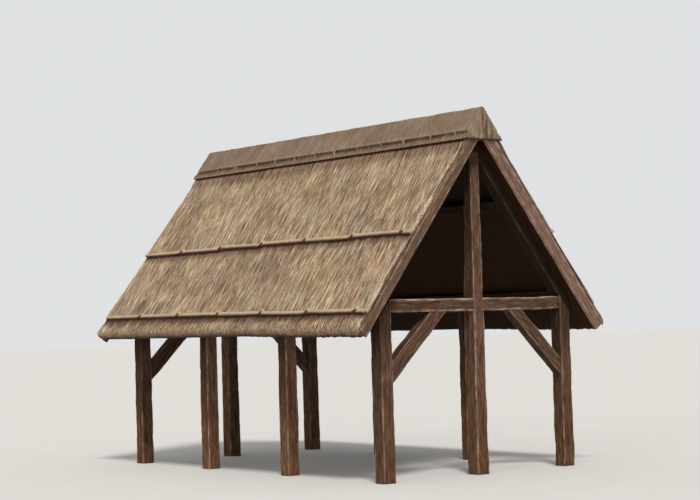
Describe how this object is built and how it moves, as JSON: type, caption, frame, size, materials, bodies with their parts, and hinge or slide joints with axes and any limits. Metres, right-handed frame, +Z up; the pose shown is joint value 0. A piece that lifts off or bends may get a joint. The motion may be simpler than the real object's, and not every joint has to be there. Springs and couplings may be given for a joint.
{
  "type": "miniature pole barn",
  "caption": "Tabletop miniature of an open-sided barn: a braced timber frame on posts, halved king posts in open gables, and a steep thatched roof with a ridge cap and thatching rods.",
  "frame": {"origin": "middle of the roof's plan on the ground, where the posts stand", "axes": "+Y along the ridge from the front gable to the back gable, +X to the right of the front gable, +Z up"},
  "size_m": [0.1014, 0.1526, 0.114],
  "materials": {
    "timber": "moulded wood grain, painted dark brown with dry-brushed edges",
    "thatch": "moulded straw, painted grey-brown with a pale dry brush",
    "ridge_thatch": "moulded straw with a stitched band, painted grey-brown with a pale dry brush",
    "verge_boards": "moulded wood grain, painted brown",
    "rods": "moulded round rods, painted pale straw brown"
  },
  "bodies": {
    "root": {"brace_back_left": "timber", "brace_back_right": "timber", "brace_front_left": "timber", "brace_front_right": "timber", "king_post_back": "timber", "king_post_front": "timber", "post_back_left": "timber", "post_back_right": "timber", "post_front_left": "timber", "post_front_right": "timber", "purlin_left": "timber", "purlin_right": "timber", "rafter_back_left": "timber", "rafter_back_right": "timber", "rafter_front_left": "timber", "rafter_front_right": "timber", "ridge_beam": "timber", "ridge_cap": "ridge_thatch", "rod_lower_left": "rods", "rod_lower_right": "rods", "rod_upper_left": "rods", "rod_upper_right": "rods", "side_post_far_left": "timber", "side_post_far_right": "timber", "side_post_near_left": "timber", "side_post_near_right": "timber", "thatch_left": "thatch", "thatch_right": "thatch", "tie_beam_back": "timber", "tie_beam_front": "timber", "verge_board_back_left": "verge_boards", "verge_board_back_right": "verge_boards", "verge_board_front_left": "verge_boards", "verge_board_front_right": "verge_boards", "wall_plate_left": "timber", "wall_plate_right": "timber"}
  },
  "joints": []
}
